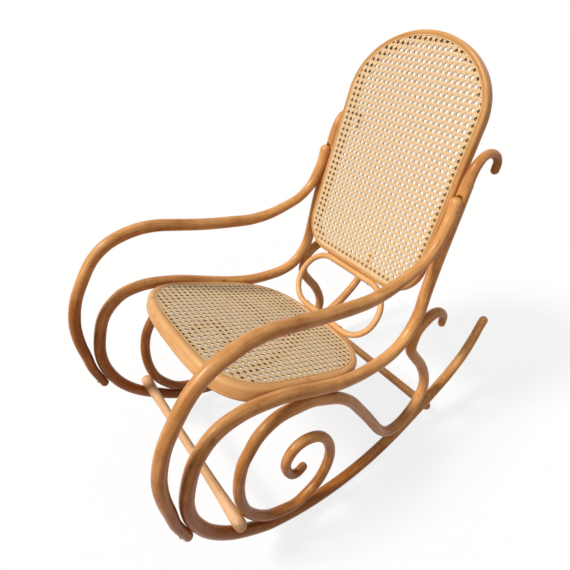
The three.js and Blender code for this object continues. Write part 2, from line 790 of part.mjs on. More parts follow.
scrollRows.filter((row) => row.bears).forEach((row, i) => {
  if (scrollScrewNames[i]) {
    const pair = contactNear(scroll, row.point);
    driveAcross(scrollScrewNames[i], pair.here, pair.there, row.radius, runnerRadius, ['scroll', 'runner']);
  }
});

backScrewShares.forEach((share, i) => {
  const level = new THREE.Vector3(0, share * backHeight, 0).applyMatrix4(backTurn);
  driveInward(`back_${levelNames[i]}`, runnerNear(level), 'back_frame');
});
seatScrewShares.forEach((share, i) => {
  driveInward(`seat_${placeNames[i]}`, railAt(share), 'seat_frame');
});

[frontStretcherPlace, rearStretcherPlace].forEach((place, i) => {
  const under = runnerNear(place);
  const over = new THREE.Vector3(under.x, place.y, place.z);
  const endRadius = [frontStretcherEnd, rearStretcherEnd][i] / 2;
  driveAcross(`${placeNames[i]}_stretcher`, under, over, runnerRadius, endRadius,
    ['runner', `${placeNames[i]}_stretcher`]);
});

const loopScrewLength = loopRadius + loopReach + fit + loopScrewBite;
const backUp = new THREE.Vector3(0, 1, 0).transformDirection(backTurn);
const seatUp = new THREE.Vector3(0, 0, 1).transformDirection(seatTurn);
const loopScrewX = new THREE.Vector3(loopScrewShare * loopHalfWidth, 0, 0);
drive('loop_upper', loopHead.clone().add(loopScrewX).addScaledVector(backUp, -loopRadius), backUp,
  loopScrewLength, ['lumbar_loop', 'back_frame'], true);
drive('loop_lower', loopFoot.clone().add(loopScrewX).addScaledVector(seatUp, loopRadius), seatUp.clone().negate(),
  loopScrewLength, ['lumbar_loop', 'seat_frame'], true);

// Cuts the screw holes of one side, and of the other side too where the piece spans the chair
function drilled(solid, piece, bothSides) {
  const cutters = screws.filter((screw) => screw.pieces.includes(piece)).flatMap((screw) => {
    const cutter = toGeometry(toSolid(screwShape(...screw.sizes, fit).applyMatrix4(screw.matrix)));
    return bothSides ? [cutter, mirrored(cutter)] : [cutter];
  });
  return cutters.reduce((rest, cutter) => rest.subtract(toSolid(cutter)), solid);
}

const chair = new THREE.Group();

function add(name, geometry, look) {
  const mesh = new THREE.Mesh(geometry, new THREE.MeshStandardMaterial(look));
  mesh.name = name;
  chair.add(mesh);
}

function addBothSides(name, geometry, look) {
  add(`left_${name}`, geometry, look);
  add(`right_${name}`, mirrored(geometry), look);
}

const armEnd = arm.filter((place) => place.point.distanceTo(armTop) < notchReach);
const notch = toSolid(rod(armEnd, fit));
const runnerSolid = toSolid(rod(runner)).subtract(notch);
addBothSides('runner', toGeometry(drilled(runnerSolid, 'runner', false)), rodWood);
addBothSides('arm', toGeometry(drilled(toSolid(rod(arm)), 'arm', false)), rodWood);
addBothSides('scroll', toGeometry(drilled(toSolid(rod(scroll)), 'scroll', false)), rodWood);

function addCanedFrame(name, outline, section, splineInset, turn) {
  const frame = toSolid(hoop(outline, section).applyMatrix4(turn));
  add(`${name}_frame`, toGeometry(drilled(frame, `${name}_frame`, true)), frameWood);
  add(`${name}_spline`, hoop(outline, splineSection(splineInset)).applyMatrix4(turn), splineFibre);
  const caneInset = splineInset + splineWidth + 2 * fit;
  const net = caneNet(insetOutline(outline, caneInset)).translate(0, 0, -caneSink - caneThickness);
  add(`${name}_cane`, net.applyMatrix4(turn), caneFibre);
}

addCanedFrame('back', backOutline, railSection(backRailWidth, backRailDepth, backEdgeRound, backSplineInset),
  backSplineInset, backTurn);
addCanedFrame('seat', seatOutline, railSection(seatRailWidth, seatRailDepth, seatEdgeRound, seatSplineInset),
  seatSplineInset, seatTurn);

const loopSolid = toSolid(hoop(loopOutline, loopSection).applyMatrix4(loopTurn));
add('lumbar_loop', toGeometry(drilled(loopSolid, 'lumbar_loop', true)), frameWood);

function addStretcher(name, place, waist, end, overhang, look) {
  const halfLength = runnerNear(place).x + runnerRadius + overhang;
  const solid = toSolid(turned(waist, end, halfLength).translate(0, place.y, place.z));
  add(name, toGeometry(drilled(solid, name, true)), look);
}

addStretcher('front_stretcher', frontStretcherPlace, frontStretcherWaist, frontStretcherEnd,
  frontStretcherOverhang, paleWood);
addStretcher('rear_stretcher', rearStretcherPlace, rearStretcherWaist, rearStretcherEnd,
  rearStretcherOverhang, rodWood);

screws.forEach((screw) => {
  const geometry = toGeometry(toSolid(screwShape(...screw.sizes).applyMatrix4(screw.matrix)));
  addBothSides(`${screw.name}_screw`, geometry, screwSteel);
});

// Stands the chair on the flats of its rockers, over the middle of its outline
chair.rotation.x = -restAngle;
const standing = new THREE.Box3().setFromObject(chair, true);
chair.position.set(0, -(standing.min.y + standing.max.y) / 2, -standing.min.z);

export default chair;
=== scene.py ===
"""The looks of a bentwood rocking chair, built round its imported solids.

Lengths are in metres in the part's own frame: the front of the chair faces -Y, the sitter's left
is +X and the floor is at Z 0. The main sizes are those of the part's source.
"""
import math
import random

import bmesh
import bpy
from mathutils import Matrix, Vector

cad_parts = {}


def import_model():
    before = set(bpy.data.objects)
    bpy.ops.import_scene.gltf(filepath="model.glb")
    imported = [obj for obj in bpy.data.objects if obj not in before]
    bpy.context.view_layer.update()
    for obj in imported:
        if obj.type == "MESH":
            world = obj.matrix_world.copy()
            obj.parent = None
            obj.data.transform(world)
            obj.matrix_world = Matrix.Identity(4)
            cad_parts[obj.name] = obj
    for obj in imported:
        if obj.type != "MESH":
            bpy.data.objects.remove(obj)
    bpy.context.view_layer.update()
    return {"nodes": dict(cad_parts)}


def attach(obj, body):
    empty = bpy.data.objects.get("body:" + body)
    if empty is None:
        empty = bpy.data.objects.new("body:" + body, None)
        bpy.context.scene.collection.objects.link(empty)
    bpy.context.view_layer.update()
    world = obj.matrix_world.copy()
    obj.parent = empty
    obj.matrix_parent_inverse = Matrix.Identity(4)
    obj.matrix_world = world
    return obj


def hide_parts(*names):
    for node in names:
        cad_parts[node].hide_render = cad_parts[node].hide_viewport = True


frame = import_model()

MM = 0.001

# Side frames, and the clearance between pieces that touch
SIDE_DEPTH = 1055 * MM
SIDE_HEIGHT = 866 * MM
SIDE_SPREAD = 262 * MM
ROCKER_BASE = 9 * MM
ROCKER_RADIUS = 610 * MM
ROCKER_STEP = 36 * MM
RUNNER_RADIUS = 30.5 * MM / 2
ARM_RADIUS = 31 * MM / 2
SCROLL_RADIUS = 29 * MM / 2
NOTCH_DEPTH = 11.5 * MM
NOTCH_REACH = 130 * MM
NOTCH_GAP = 0.9 * MM
NOTCH_RUN = 4 * MM
CONTACT_REACH = 120 * MM
FIT = 0.3 * MM
ROCKER_FRONT_ANGLE = math.radians(23.7)
ROCKER_REAR_ANGLE = math.radians(24.7)

# How the part stands: turned about X, then moved over the middle of its outline
REST_ANGLE = math.radians(0.7)
STAND_DEPTH = -525.23 * MM
STAND_HEIGHT = -3.9 * MM

# Caned back
BACK_LEAN = math.radians(20)
BACK_HEIGHT = 604 * MM
BACK_CROWN_RISE = 168 * MM
BACK_CORNER_RADIUS = 90 * MM
BACK_RAIL_WIDTH = 25 * MM
BACK_RAIL_DEPTH = 25 * MM
BACK_EDGE_ROUND = 6 * MM
BACK_SPLINE_INSET = 11.5 * MM

# Caned seat
SEAT_SLOPE = math.radians(22)
SEAT_DEPTH = 471 * MM
SEAT_RAIL_WIDTH = 31 * MM
SEAT_RAIL_DEPTH = 38 * MM
SEAT_EDGE_ROUND = 11 * MM
SEAT_SPLINE_INSET = 17.5 * MM

# Rounding of both caned rails at the groove and the lip, and underneath
SMALL_ROUND = 1.2 * MM
UNDER_ROUND = 6 * MM

# Cane webbing and its splines. The strands are deep, so that the weave shows their sides at a slant, and
# these sides are painted near black as shade.
CANE_PITCH = 15.8 * MM
BACK_ROW_PITCH = 15.45 * MM
CANE_LEVEL = -1.9 * MM
PAIR_SPREAD = 1.9 * MM
STRAND_WIDTH = 3.2 * MM
DIAGONAL_WIDTH = 3.1 * MM
STRAND_THICKNESS = 3.2 * MM
STRAND_WAVE = 0.4 * MM
# Where a hole of each sheet lies, across from the middle and up from the front or lower edge
BACK_HOLE = Vector((3.95, 10.3, 0)) * MM
SEAT_HOLE = Vector((0, 7.9, 0)) * MM
SPLINE_WIDTH = 2.9 * MM
SPLINE_HEIGHT = 3.8 * MM
SPLINE_PROUD = 0.9 * MM

# Loop and stretchers
LOOP_RADIUS = 17 * MM / 2
LOOP_HALF_WIDTH = 163 * MM
LOOP_CORNER_RADIUS = 74 * MM
FRONT_STRETCHER_WAIST = 22 * MM
FRONT_STRETCHER_END = 30.5 * MM
FRONT_STRETCHER_OVERHANG = 9 * MM
REAR_STRETCHER_WAIST = 25 * MM
REAR_STRETCHER_END = 27 * MM
REAR_STRETCHER_OVERHANG = 1 * MM

# How finely the pieces are stepped
ROD_SIDES = 24
RING_STEP = 6 * MM
LOOP_SIDES = 16
PLACES_PER_ROW = 16
STEPS_PER_PITCH = 4
SPLINE_STEPS = 6
BACK_CORNER_STEPS = 16
BACK_CROWN_STEPS = 60
SEAT_OUTLINE_STRIDE = 4
LOOP_CORNER_STEPS = 14
ROD_END_ANGLES = tuple(math.radians(angle) for angle in (75, 58, 42, 27, 13))
STRETCHER_END_ANGLES = tuple(math.radians(angle) for angle in (15, 30, 45, 60, 75))

# How a rod is brought to bear on the runner: passes, and every how many places each one is tried
SETTLE_PASSES = 6
OWN_STRIDE = 3
RUNNER_STRIDE = 2

# The least measure of a span between places, and the least turn between lines that cross
LEAST_SPAN = 1e-6
PARALLEL = 1e-12

# Places along the rods: shares of the side frame's depth, of its height and of its spread,
# then the share of the rod's full thickness there. A last 1 marks a place that bears on the runner.
HOOK_TO_ROCKER_SHARES = [
    (0.858, 0.931, 0.878, 0.66),
    (0.861, 0.951, 0.878, 0.67),
    (0.850, 0.971, 0.878, 0.68),
    (0.828, 0.983, 0.874, 0.68),
    (0.805, 0.980, 0.874, 0.70),
    (0.786, 0.963, 0.874, 0.79),
    (0.773, 0.936, 0.870, 0.89),
    (0.764, 0.903, 0.870, 0.98),
    (0.749, 0.843, 0.870, 1),
    (0.718, 0.723, 0.870, 1),
    (0.695, 0.618, 0.870, 1),
    (0.680, 0.551, 0.878, 1),
    (0.666, 0.520, 0.882, 1),
    (0.648, 0.494, 0.889, 1),
    (0.626, 0.475, 0.897, 1),
    (0.599, 0.463, 0.908, 1),
    (0.567, 0.458, 0.920, 1),
    (0.495, 0.464, 0.943, 1),
    (0.425, 0.485, 0.966, 1),
    (0.351, 0.521, 0.979, 1),
    (0.275, 0.560, 0.981, 1),
    (0.202, 0.583, 0.989, 1),
    (0.169, 0.585, 0.992, 1),
    (0.137, 0.579, 0.996, 1),
    (0.111, 0.562, 0.996, 1),
    (0.089, 0.537, 1, 1),
    (0.072, 0.505, 1, 1),
    (0.051, 0.425, 1, 1),
    (0.047, 0.381, 1, 1),
    (0.050, 0.336, 1, 1),
    (0.060, 0.291, 1, 1),
    (0.076, 0.247, 1, 1),
    (0.100, 0.204, 1, 1),
    (0.130, 0.165, 1, 1),
    (0.171, 0.125, 0.996, 1),
    (0.192, 0.106, 0.992, 1),
]
ROCKER_MIDDLE_SHARE = 0.450
ROCKER_SPREAD_SHARES = (0.990, 0.945)
TAIL_SHARES = [
    (0.735, 0.118, 0.943, 1),
    (0.773, 0.140, 0.942, 1),
    (0.810, 0.163, 0.940, 0.98),
    (0.844, 0.185, 0.937, 0.96),
    (0.876, 0.211, 0.934, 0.94),
    (0.905, 0.239, 0.931, 0.92),
    (0.928, 0.270, 0.928, 0.90),
    (0.948, 0.303, 0.924, 0.87),
    (0.966, 0.338, 0.920, 0.85),
    (0.977, 0.358, 0.920, 0.85),
]
ARM_TOP_SHARES = (0.746, 0.869, 0.874, 0.97)
ARM_SHARES = [
    (0.730, 0.837, 0.878, 0.97),
    (0.715, 0.801, 0.882, 0.93),
    (0.698, 0.770, 0.885, 0.88),
    (0.675, 0.745, 0.889, 0.84),
    (0.648, 0.726, 0.893, 0.83),
    (0.617, 0.715, 0.897, 0.86),
    (0.556, 0.701, 0.905, 0.93),
    (0.498, 0.700, 0.916, 0.97),
    (0.441, 0.711, 0.927, 1),
    (0.362, 0.731, 0.935, 1),
    (0.292, 0.753, 0.950, 1),
    (0.249, 0.766, 0.962, 1),
    (0.209, 0.770, 0.973, 1),
    (0.170, 0.764, 0.985, 0.98),
    (0.131, 0.749, 0.992, 0.96),
    (0.092, 0.715, 1, 0.94),
    (0.057, 0.658, 1, 0.93),
    (0.032, 0.603, 1, 0.93),
    (0.016, 0.540, 1, 0.93),
    (0.012, 0.500, 1, 0.92),
    (0.012, 0.456, 1, 0.89),
    (0.016, 0.405, 1, 0.84),
    (0.023, 0.352, 1, 0.76, 1),
    (0.037, 0.282, 1, 0.70, 1),
]
SCROLL_SHARES = [
    (0.778, 0.458, 0.893, 0.70),
    (0.778, 0.486, 0.893, 0.80),
    (0.757, 0.513, 0.893, 0.90),
    (0.731, 0.519, 0.893, 1),
    (0.704, 0.507, 0.893, 1),
    (0.683, 0.484, 0.893, 1, 1),
    (0.670, 0.452, 0.893, 1),
    (0.668, 0.420, 0.895, 1),
    (0.690, 0.374, 0.901, 1),
    (0.715, 0.331, 0.905, 1),
    (0.733, 0.287, 0.910, 1),
    (0.743, 0.248, 0.916, 1),
    (0.744, 0.216, 0.924, 1),
    (0.737, 0.190, 0.931, 1),
    (0.724, 0.168, 0.939, 1),
    (0.704, 0.145, 0.947, 1),
    (0.683, 0.125, 0.953, 1, 1),
    (0.660, 0.112, 0.957, 1, 1),
    (0.630, 0.108, 0.960, 1),
    (0.605, 0.117, 0.962, 1),
    (0.583, 0.138, 0.962, 1),
    (0.564, 0.168, 0.964, 1),
    (0.542, 0.213, 0.965, 1),
    (0.515, 0.270, 0.966, 1),
    (0.486, 0.327, 0.969, 1),
    (0.454, 0.387, 0.973, 1),
    (0.418, 0.432, 0.973, 1),
    (0.374, 0.467, 0.977, 1),
    (0.334, 0.487, 0.981, 1, 1),
    (0.296, 0.500, 0.981, 1),
    (0.260, 0.503, 0.981, 0.98),
    (0.231, 0.492, 0.981, 0.96),
    (0.205, 0.470, 0.981, 0.94),
    (0.185, 0.441, 0.985, 0.92),
    (0.169, 0.409, 0.985, 0.91),
    (0.157, 0.361, 0.989, 0.91),
    (0.153, 0.316, 0.989, 0.91),
    (0.155, 0.267, 0.989, 0.91),
    (0.165, 0.216, 0.989, 0.91),
    (0.188, 0.167, 0.992, 0.91),
    (0.218, 0.128, 0.992, 0.91),
    (0.256, 0.098, 0.992, 0.91, 1),
    (0.294, 0.091, 0.989, 0.91),
    (0.331, 0.106, 0.989, 0.91),
    (0.361, 0.130, 0.989, 0.91),
    (0.382, 0.164, 0.985, 0.91),
    (0.394, 0.209, 0.985, 0.91),
    (0.393, 0.256, 0.985, 0.91),
    (0.379, 0.303, 0.985, 0.91),
    (0.357, 0.335, 0.985, 0.90),
    (0.329, 0.349, 0.981, 0.90),
    (0.302, 0.348, 0.981, 0.88),
    (0.282, 0.331, 0.981, 0.86),
    (0.270, 0.304, 0.981, 0.84),
    (0.273, 0.268, 0.977, 0.81),
    (0.287, 0.236, 0.977, 0.78),
    (0.302, 0.230, 0.977, 0.76),
    (0.316, 0.240, 0.977, 0.74),
]
# Half of the seat's outline: shares of its half width and of its depth, front to rear
SEAT_OUTLINE_SHARES = [
    (0, 0),
    (0.332, 0.004),
    (0.581, 0.021),
    (0.768, 0.057),
    (0.900, 0.121),
    (0.975, 0.212),
    (1, 0.329),
    (1, 0.478),
    (0.996, 0.605),
    (0.975, 0.722),
    (0.909, 0.817),
    (0.793, 0.896),
    (0.631, 0.951),
    (0.415, 0.983),
    (0.207, 0.996),
    (0, 1),
]
SEAT_FRONT_SHARES = (0.157, 0.627)
BACK_FOOT_SHARES = (0.655, 0.585)
RAIL_FOOT_SHARE = 0.45
FRONT_STRETCHER_SHARES = (0.139, 0.200)
REAR_STRETCHER_SHARES = (0.766, 0.135)
# Turned profile of a stretcher: share of its half length, then how far its waist has grown to its end
STRETCHER_PROFILE_SHARES = [
    (0, 0),
    (0.2, 0.02),
    (0.35, 0.06),
    (0.5, 0.16),
    (0.65, 0.36),
    (0.78, 0.68),
    (0.88, 0.95),
]
LOOP_ON_SEAT_SHARE = 0.3
LOOP_UNDER_BACK_SHARE = 0.2
# A split strand's section, a crowned skin over a flatter underside: shares of its half width and of
# half its thickness, with a last 1 on its sides, which get a painted shade
STRAND_SECTION_SHARES = [
    (-1, 0.8, 0),
    (-0.6, 1, 0),
    (0.6, 1, 0),
    (1, 0.8, 0),
    (0.95, -0.9, 1),
    (0.7, -1, 0),
    (-0.7, -1, 0),
    (-0.95, -0.9, 1),
]

# Colours of the woods: light grain, dark grain, then flecks and bruises
ROD_WOOD_COLOURS = ((0.84, 0.49, 0.21, 1), (0.37, 0.135, 0.024, 1), (0.09, 0.026, 0.005, 1))
FRAME_WOOD_COLOURS = ((0.80, 0.52, 0.26, 1), (0.55, 0.27, 0.09, 1), (0.30, 0.12, 0.03, 1))
BACK_WOOD_COLOURS = ((0.68, 0.40, 0.17, 1), (0.42, 0.19, 0.055, 1), (0.22, 0.08, 0.02, 1))
PALE_WOOD_COLOURS = ((0.82, 0.57, 0.37, 1), (0.56, 0.32, 0.17, 1), (0.20, 0.08, 0.03, 1))
# Colours of the cane: its light and dark lines, then the sides of its strands, painted near black on the
# webbing as shade
CANE_COLOURS = ((0.88, 0.69, 0.43, 1), (0.70, 0.48, 0.25, 1), (0.03, 0.014, 0.006, 1))
SPLINE_COLOURS = ((0.82, 0.57, 0.30, 1), (0.60, 0.37, 0.16, 1), (0.84, 0.60, 0.32, 1))
SCREW_COLOURS = ((0.20, 0.10, 0.04, 1), (0.42, 0.23, 0.10, 1))
VARNISH_TINT = (1, 0.87, 0.68, 1)

# The way in which painted shade darkens the rods' wood, low down and at the front, and where along it that
# starts and is complete, in metres from the middle of the floor
LOW_SHADE_TOWARDS = (0, -0.6, -0.8)
LOW_SHADE_FROM = -0.25
LOW_SHADE_TO = 0.05

# The floor's half width, its white, its colour for the light that it throws back at the chair, and
# how much of its white is its own
FLOOR_REACH = 80
FLOOR_WHITE = (0.95, 0.95, 0.95, 1)
FLOOR_BOUNCE = (0.26, 0.10, 0.025, 1)
FLOOR_GLOW = 0.82

# The lamps: where each one stands from the chair, its strength and its colour. Both are equally soft.
KEY_SIDE = (-0.25, -0.75, 1)
KEY_STRENGTH = 3.2
KEY_COLOUR = (1, 0.96, 0.91)
FILL_SIDE = (0.66, -0.49, 0.6)
FILL_STRENGTH = 0.35
FILL_COLOUR = (1, 0.97, 0.93)
LAMP_ANGLE = math.radians(12)
SURROUNDING_LIGHT = 0.2

# Camera of the photograph, in the frame in which the side frames were measured: its place,
# its turn from straight ahead, how far it looks down, and the picture's frame
CAMERA_PLACE = Vector((784.9, -70, 1196.2)) * MM
CAMERA_TURN = math.radians(53.22)
CAMERA_DOWN = math.radians(34.68)
CAMERA_NEAR = 0.05
CAMERA_FAR = 100
PICTURE_WIDTH = 570
FOCAL_PIXELS = 463.6
CENTRE_PIXELS = (300, 285)
SENSOR_WIDTH = 36

STAND = Matrix.Translation((0, STAND_DEPTH, STAND_HEIGHT)) @ Matrix.Rotation(-REST_ANGLE, 4, "X")
UP = Vector((0, 0, 1))


def side_place(row):
    """The place that a row of shares names, on the chair's middle plane where it has no spread."""
    spread = row[2] if len(row) > 2 else 0
    return Vector((spread * SIDE_SPREAD, row[0] * SIDE_DEPTH, row[1] * SIDE_HEIGHT))


def rod_rows(shares, radius):
    """Rows of place, radius and whether the rod bears on the runner there."""
    return [[side_place(row), radius * row[3], len(row) > 4] for row in shares]


def curve_place(p0, p1, p2, p3, t):
    """A place on a centripetal curve between p1 and p2."""
    d0 = max(math.sqrt((p1 - p0).length), LEAST_SPAN)
    d1 = max(math.sqrt((p2 - p1).length), LEAST_SPAN)
    d2 = max(math.sqrt((p3 - p2).length), LEAST_SPAN)
    leave = ((p1 - p0) / d0 - (p2 - p0) / (d0 + d1) + (p2 - p1) / d1) * d1
    arrive = ((p2 - p1) / d1 - (p3 - p1) / (d1 + d2) + (p3 - p2) / d2) * d1
    a = 2 * t ** 3 - 3 * t ** 2 + 1
    b = t ** 3 - 2 * t ** 2 + t
    return a * p1 + b * leave + (1 - a) * p2 + (t ** 3 - t ** 2) * arrive


def trace(rows, closed=False):
    """A smooth run through the rows, as closely set (place, radius) pairs."""
    count = len(rows)
    spans = count if closed else count - 1
    route = []
    for i in range(spans):
        p1, p2 = rows[i][0], rows[(i + 1) % count][0]
        p0 = rows[i - 1][0] if closed or i > 0 else 2 * p1 - p2
        p3 = rows[(i + 2) % count][0] if closed or i + 2 < count else 2 * p2 - p1
        for k in range(PLACES_PER_ROW):
            t = k / PLACES_PER_ROW
            radius = rows[i][1] + (rows[(i + 1) % count][1] - rows[i][1]) * t
            route.append((curve_place(p0, p1, p2, p3, t), radius))
    if not closed:
        route.append((rows[-1][0].copy(), rows[-1][1]))
    return route


def side_on(a, b):
    """How far apart two places look from the side."""
    return math.hypot(a.y - b.y, a.z - b.z)


def nearest(route, point):
    """The place of a route nearest to a point, seen from the side."""
    return min(route, key=lambda place: side_on(place[0], point))


def settle(rows, neighbour):
    """Moves the rows that bear on the neighbour until the rod just touches it there."""
    for _ in range(SETTLE_PASSES):
        for row in (each for each in rows if each[2]):
            near = [p for p in trace(rows) if (p[0] - row[0]).length < CONTACT_REACH][::OWN_STRIDE]
            by = [p for p in neighbour if (p[0] - row[0]).length < 2 * CONTACT_REACH][::RUNNER_STRIDE]
            pairs = ((side_on(a[0], b[0]) - a[1] - b[1], a[0], b[0]) for a in near for b in by)
            gap, here, there = min(pairs, key=lambda pair: pair[0])
            away = Vector((0, here.y - there.y, here.z - there.z)).normalized()
            row[0] += away * (FIT - gap)
    return trace(rows)


def beside_runner(rough, distance):
    """The place on the middle plane beside the runner, towards a rough place and a given way off."""
    there = nearest(runner, rough)[0]
    away = Vector((0, rough.y - there.y, rough.z - there.z)).normalized()
    return Vector((0, there.y, there.z)) + away * distance


def rocker_rows():
    """Even rows along the rocker's arc, which draws in a little towards its rear."""
    middle = Vector((0, ROCKER_MIDDLE_SHARE * SIDE_DEPTH, ROCKER_BASE + RUNNER_RADIUS + ROCKER_RADIUS))
    sweep = ROCKER_FRONT_ANGLE + ROCKER_REAR_ANGLE
    count = round(sweep * ROCKER_RADIUS / ROCKER_STEP)
    front_spread, rear_spread = ROCKER_SPREAD_SHARES
    rows = []
    for i in range(count + 1):
        angle = sweep * i / count - ROCKER_FRONT_ANGLE
        across = (front_spread + (rear_spread - front_spread) * i / count) * SIDE_SPREAD
        offset = Vector((across, math.sin(angle) * ROCKER_RADIUS, -math.cos(angle) * ROCKER_RADIUS))
        rows.append([middle + offset, RUNNER_RADIUS, False])
    return rows


def even_route(route):
    """The places of a route at even distances, with their distance along it."""
    kept = [(route[0][0], route[0][1], 0.0)]
    length = 0.0
    for before, after in zip(route[:-1], route[1:]):
        length += (after[0] - before[0]).length
        if length - kept[-1][2] >= RING_STEP:
            kept.append((after[0], after[1], length))
    if length - kept[-1][2] > RING_STEP / 3:
        kept.append((route[-1][0], route[-1][1], length))
    return kept


def grained_piece(name, corners, faces, grain, material):
    """A smooth piece that keeps, at each corner, its place across and along the grain."""
    mesh = bpy.data.meshes.new(name)
    mesh.from_pydata(corners, [], faces)
    attribute = mesh.attributes.new("grain", "FLOAT_VECTOR", "POINT")
    for data, value in zip(attribute.data, grain):
        data.vector = value
    mesh.shade_smooth()
    mesh.materials.append(material)
    piece = bpy.data.objects.new(name, mesh)
    bpy.context.scene.collection.objects.link(piece)
    return piece


def skin_piece(name, rings, tips, grain, material, matrix):
    """A skin over rings of points, with a point at each end or, without tips, joined into a hoop."""
    sides = len(rings[0])
    corners = [corner for ring in rings for corner in ring]
    faces = []
    spans = len(rings) - 1 if tips else len(rings)
    for i in range(spans):
        low, high = i * sides, (i + 1) % len(rings) * sides
        for k in range(sides):
            after = (k + 1) % sides
            faces.append((low + k, low + after, high + after, high + k))
    if tips:
        start = len(corners)
        corners.extend(tips)
        last = (len(rings) - 1) * sides
        for k in range(sides):
            after = (k + 1) % sides
            faces.append((start, after, k))
            faces.append((start + 1, last + k, last + after))
    piece = grained_piece(name, [matrix @ corner for corner in corners], faces, grain, material)
    outwards = bmesh.new()
    outwards.from_mesh(piece.data)
    bmesh.ops.recalc_face_normals(outwards, faces=outwards.faces)
    outwards.to_mesh(piece.data)
    outwards.free()
    return piece


def rod(name, route, material, mirrored, grown=0.0):
    """A bent round rod with rounded ends, grown all over when it serves as a cutter."""
    steps = even_route(route)
    places = [step[0] for step in steps]
    rings, grain = [], []

    def add_ring(centre, tangent, radius, along):
        across = (Vector((1, 0, 0)) - tangent * tangent.x).normalized()
        up = tangent.cross(across)
        ring = []
        for k in range(ROD_SIDES):
            angle = 2 * math.pi * k / ROD_SIDES
            ring.append(centre + (across * math.cos(angle) + up * math.sin(angle)) * radius)
            grain.append((radius * math.cos(angle), radius * math.sin(angle), along))
        rings.append(ring)

    def tangent_at(i):
        return (places[min(i + 1, len(places) - 1)] - places[max(i - 1, 0)]).normalized()

    first, last = tangent_at(0), tangent_at(len(places) - 1)
    start_radius, end_radius = steps[0][1] + grown, steps[-1][1] + grown
    length = steps[-1][2]
    for angle in ROD_END_ANGLES:
        out, width = start_radius * math.sin(angle), start_radius * math.cos(angle)
        add_ring(places[0] - first * out, first, width, -out)
    for i, (place, radius, along) in enumerate(steps):
        add_ring(place, tangent_at(i), radius + grown, along)
    for angle in reversed(ROD_END_ANGLES):
        out, width = end_radius * math.sin(angle), end_radius * math.cos(angle)
        add_ring(places[-1] + last * out, last, width, length + out)
    tips = [places[0] - first * start_radius, places[-1] + last * end_radius]
    grain.append((0, 0, -start_radius))
    grain.append((0, 0, length + end_radius))
    flip = Matrix.Diagonal((-1, 1, 1, 1)) if mirrored else Matrix.Identity(4)
    return skin_piece(name, rings, tips, grain, material, STAND @ flip)


def hoop(name, outline, section, material, matrix):
    """A rail swept round an outline. Its section gives distances in from it and down from its face."""
    rings, grain = [], []
    along = 0.0
    for i, point in enumerate(outline):
        after = outline[(i + 1) % len(outline)]
        inward = UP.cross((after - outline[i - 1]).normalized())
        rings.append([point + inward * inset - UP * sunk for inset, sunk in section])
        grain.extend((inset, sunk, along) for inset, sunk in section)
        along += (after - point).length
    return skin_piece(name, rings, None, grain, material, matrix)


def inset_outline(outline, inset):
    """An outline moved inwards."""
    moved = []
    for i, point in enumerate(outline):
        tangent = (outline[(i + 1) % len(outline)] - outline[i - 1]).normalized()
        moved.append(point + UP.cross(tangent) * inset)
    return moved


def arc_points(centre_x, centre_y, radius_x, radius_y, start, end, steps):
    """Points on an arc in the plane of an outline, between two angles in degrees."""
    points = []
    for i in range(steps + 1):
        angle = math.radians(start + (end - start) * i / steps)
        x = centre_x + radius_x * math.cos(angle)
        y = centre_y + radius_y * math.sin(angle)
        points.append(Vector((x, y, 0)))
    return points


def corner_arc(inset, sunk, radius, start, steps):
    """A rounded corner of a rail's section about a centre, a quarter turn on from a start angle."""
    points = []
    for i in range(steps + 1):
        angle = math.radians(start + 90 * i / steps)
        points.append((inset + radius * math.cos(angle), sunk + radius * math.sin(angle)))
    return points


def rail_section(width, depth, edge_round, spline_inset):
    """Section of a caned rail: rounded outside, a groove for the spline, and a lowered lip for the cane."""
    lip = -CANE_LEVEL + STRAND_THICKNESS / 2 + STRAND_WAVE
    groove_end = spline_inset + SPLINE_WIDTH
    inner_round = 2 * SMALL_ROUND
    section = corner_arc(edge_round, edge_round, edge_round, start=180, steps=6)
    section.append((spline_inset - SMALL_ROUND / 2, 0))
    section.append((spline_inset, SMALL_ROUND / 2))
    section.append((spline_inset, SPLINE_HEIGHT))
    section.append((groove_end, SPLINE_HEIGHT))
    section.append((groove_end, lip))
    section.extend(corner_arc(width - SMALL_ROUND, lip + SMALL_ROUND, SMALL_ROUND, start=270, steps=2))
    section.extend(corner_arc(width - inner_round, depth - inner_round, inner_round, start=0, steps=3))
    section.extend(corner_arc(UNDER_ROUND, depth - UNDER_ROUND, UNDER_ROUND, start=90, steps=5))
    return section


def spline_section(spline_inset):
    """Section of the strip in the groove: flat below, with a rounded top a little above the rail."""
    radius = SPLINE_WIDTH / 2
    middle = spline_inset + radius
    foot = SPLINE_HEIGHT - SPLINE_PROUD
    section = [(middle + radius, foot), (middle - radius, foot)]
    for i in range(SPLINE_STEPS + 1):
        angle = math.pi * (1 - i / SPLINE_STEPS)
        section.append((middle + radius * math.cos(angle), -SPLINE_PROUD * math.sin(angle)))
    return section


def new_material(name):
    """A new material, its node tree and its shader."""
    material = bpy.data.materials.new(name)
    material.use_nodes = True
    tree = material.node_tree
    return material, tree, tree.nodes["Principled BSDF"]


def grain_place(tree):
    """The place across and along the grain that each piece keeps."""
    grain = tree.nodes.new("ShaderNodeAttribute")
    grain.attribute_name = "grain"
    return grain.outputs["Vector"]


def object_place(tree):
    """The place in the chair's own frame."""
    return tree.nodes.new("ShaderNodeTexCoord").outputs["Object"]


def noise(tree, source, scale, detail, stretch=1):
    """Noise over a place, drawn out along the grain where the stretch is small."""
    mapping = tree.nodes.new("ShaderNodeMapping")
    mapping.inputs["Scale"].default_value = (1, 1, stretch)
    tree.links.new(source, mapping.inputs["Vector"])
    texture = tree.nodes.new("ShaderNodeTexNoise")
    texture.inputs["Scale"].default_value = scale
    texture.inputs["Detail"].default_value = detail
    tree.links.new(mapping.outputs["Vector"], texture.inputs["Vector"])
    return texture.outputs["Fac"]


